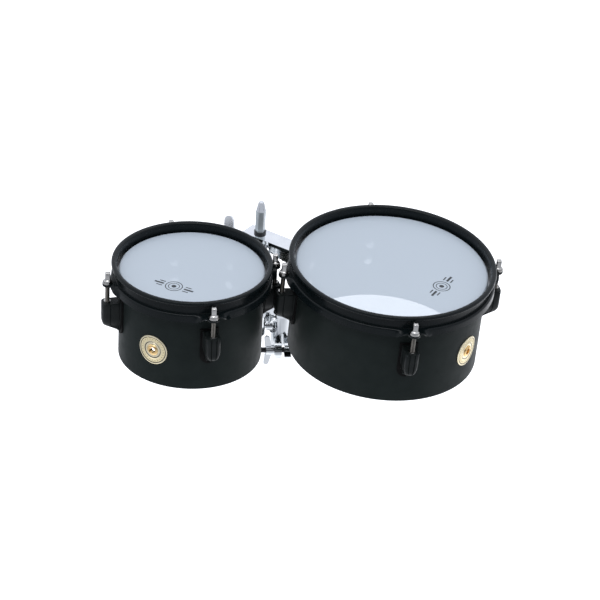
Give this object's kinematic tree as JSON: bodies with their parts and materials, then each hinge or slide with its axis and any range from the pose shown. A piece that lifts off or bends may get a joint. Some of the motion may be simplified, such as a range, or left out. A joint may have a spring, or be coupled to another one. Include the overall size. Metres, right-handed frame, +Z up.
{
  "type": "percussion instrument",
  "caption": "Small pair of black steel timbales with clear heads, key-tuned rods, brass badges and a chromed rear mount on a stand clamp.",
  "frame": {"origin": "on the axis of the stand tube, at mid-height of the clamp's hinged jaw", "axes": "+Z up along the stand tube, +X from the small drum to the large drum, -Y towards the player"},
  "size_m": [0.4295, 0.2461, 0.202],
  "materials": {
    "shell_paint": "satin black powder coat",
    "hoop_paint": "satin black powder coat",
    "lug_paint": "satin black",
    "gasket_rubber": "matte",
    "head_film": "translucent frosted film",
    "flesh_alloy": "satin",
    "rod_steel": "nickel plated",
    "washer_steel": "nickel plated",
    "screw_steel": "zinc plated",
    "badge_brass": "satin, with black rings",
    "grommet_brass": "polished",
    "backing_steel": "black",
    "bracket_chrome": "polished",
    "dark_steel": "black oxide",
    "bolt_steel": "zinc plated",
    "plate_chrome": "polished",
    "hex_chrome": "polished",
    "collar_black": "satin black",
    "clamp_chrome": "polished",
    "wing_chrome": "polished"
  },
  "bodies": {
    "clamp": {"clamp_body": "clamp_chrome", "clamp_hinge_pin": "bolt_steel"},
    "hanger": {"mount_plate": "plate_chrome", "hex_rod": "hex_chrome", "rod_collar": "collar_black", "left_hinge_bolt": "bolt_steel", "left_hinge_nut": "bolt_steel", "right_hinge_bolt": "bolt_steel", "right_hinge_nut": "bolt_steel"},
    "left_drum": {"left_shell": "shell_paint", "left_drumhead": "head_film", "left_flesh_hoop": "flesh_alloy", "left_counterhoop": "hoop_paint", "left_lugs": "lug_paint", "left_lug_gaskets": "gasket_rubber", "left_lug_screws": "screw_steel", "left_lug_washers": "screw_steel", "left_swivel_nuts": "rod_steel", "left_rod_washers": "washer_steel", "left_badge": "badge_brass", "left_vent_grommet": "grommet_brass", "left_bracket": "bracket_chrome", "left_bracket_backing": "backing_steel", "left_bracket_screws": "screw_steel"},
    "right_drum": {"right_shell": "shell_paint", "right_drumhead": "head_film", "right_flesh_hoop": "flesh_alloy", "right_counterhoop": "hoop_paint", "right_lugs": "lug_paint", "right_lug_gaskets": "gasket_rubber", "right_lug_screws": "screw_steel", "right_lug_washers": "screw_steel", "right_swivel_nuts": "rod_steel", "right_rod_washers": "washer_steel", "right_badge": "badge_brass", "right_vent_grommet": "grommet_brass", "right_bracket": "bracket_chrome", "right_bracket_backing": "backing_steel", "right_bracket_screws": "screw_steel"},
    "left_tension_rod_1_body": {"left_tension_rod_1": "rod_steel"},
    "left_tension_rod_2_body": {"left_tension_rod_2": "rod_steel"},
    "left_tension_rod_3_body": {"left_tension_rod_3": "rod_steel"},
    "left_tension_rod_4_body": {"left_tension_rod_4": "rod_steel"},
    "right_tension_rod_1_body": {"right_tension_rod_1": "rod_steel"},
    "right_tension_rod_2_body": {"right_tension_rod_2": "rod_steel"},
    "right_tension_rod_3_body": {"right_tension_rod_3": "rod_steel"},
    "right_tension_rod_4_body": {"right_tension_rod_4": "rod_steel"},
    "plate_wing_bolt_body": {"plate_wing_bolt": "wing_chrome"},
    "rod_wing_bolt_body": {"clamp_rod_wing_bolt": "wing_chrome"},
    "clamp_wing_nut_body": {"clamp_wing_nut": "wing_chrome"},
    "jaw": {"clamp_jaw": "clamp_chrome"},
    "clamp_bolt_body": {"clamp_bolt": "dark_steel"}
  },
  "joints": [
    {"name": "rod_height", "type": "slide", "parent": "clamp", "child": "hanger", "axis": [0, 0, 1], "range_m": [-0.03, 0.02]},
    {"name": "left_drum_tilt", "type": "hinge", "parent": "hanger", "child": "left_drum", "pos_m": [-0.0461, -0.02315, 0.138], "axis": [0.7716, -0.6361, 0], "range_deg": [0, 10]},
    {"name": "right_drum_tilt", "type": "hinge", "parent": "hanger", "child": "right_drum", "pos_m": [0.00339, -0.02461, 0.12599], "axis": [0.5878, 0.809, 0], "range_deg": [-3.7, 8]},
    {"name": "left_tension_rod_1_turn", "type": "hinge", "parent": "left_drum", "child": "left_tension_rod_1_body", "pos_m": [-0.01854, -0.08081, 0.13], "axis": [0, 0, 1], "continuous": true},
    {"name": "left_tension_rod_2_turn", "type": "hinge", "parent": "left_drum", "child": "left_tension_rod_2_body", "pos_m": [-0.12499, -0.00874, 0.13], "axis": [0, 0, 1], "continuous": true},
    {"name": "left_tension_rod_3_turn", "type": "hinge", "parent": "left_drum", "child": "left_tension_rod_3_body", "pos_m": [-0.19706, -0.11519, 0.13], "axis": [0, 0, 1], "continuous": true},
    {"name": "left_tension_rod_4_turn", "type": "hinge", "parent": "left_drum", "child": "left_tension_rod_4_body", "pos_m": [-0.09061, -0.18726, 0.13], "axis": [0, 0, 1], "continuous": true},
    {"name": "right_tension_rod_1_turn", "type": "hinge", "parent": "right_drum", "child": "right_tension_rod_1_body", "pos_m": [0.21843, -0.08541, 0.12445], "axis": [0.0522, -0.0379, 0.9979], "continuous": true},
    {"name": "right_tension_rod_2_turn", "type": "hinge", "parent": "right_drum", "child": "right_tension_rod_2_body", "pos_m": [0.09162, 0.01879, 0.13504], "axis": [0.0522, -0.0379, 0.9979], "continuous": true},
    {"name": "right_tension_rod_3_turn", "type": "hinge", "parent": "right_drum", "child": "right_tension_rod_3_body", "pos_m": [-0.01277, -0.10832, 0.13567], "axis": [0.0522, -0.0379, 0.9979], "continuous": true},
    {"name": "right_tension_rod_4_turn", "type": "hinge", "parent": "right_drum", "child": "right_tension_rod_4_body", "pos_m": [0.11405, -0.21251, 0.12508], "axis": [0.0522, -0.0379, 0.9979], "continuous": true},
    {"name": "plate_wing_bolt_turn", "type": "hinge", "parent": "hanger", "child": "plate_wing_bolt_body", "pos_m": [-0.03592, -0.01081, 0.133], "axis": [-0.7716, 0.6361, 0], "continuous": true},
    {"name": "rod_wing_bolt_turn", "type": "hinge", "parent": "clamp", "child": "rod_wing_bolt_body", "pos_m": [-0.01975, -0.01589, 0.028], "axis": [1, 0, 0], "continuous": true},
    {"name": "clamp_wing_nut_turn", "type": "hinge", "parent": "clamp", "child": "clamp_wing_nut_body", "pos_m": [-0.012, -0.022, 0], "axis": [1, 0, 0], "continuous": true},
    {"name": "jaw_open", "type": "hinge", "parent": "clamp", "child": "jaw", "pos_m": [0, 0.0194, 0], "axis": [0, 0, 1], "range_deg": [0, 8]},
    {"name": "clamp_bolt_slide", "type": "slide", "parent": "clamp", "child": "clamp_bolt_body", "axis": [1, 0, 0], "range_m": [0, 0.007]}
  ],
  "couplings": [
    {"joint": "clamp_bolt_slide", "follows": "jaw_open", "m_per_rad": 0.0495}
  ]
}
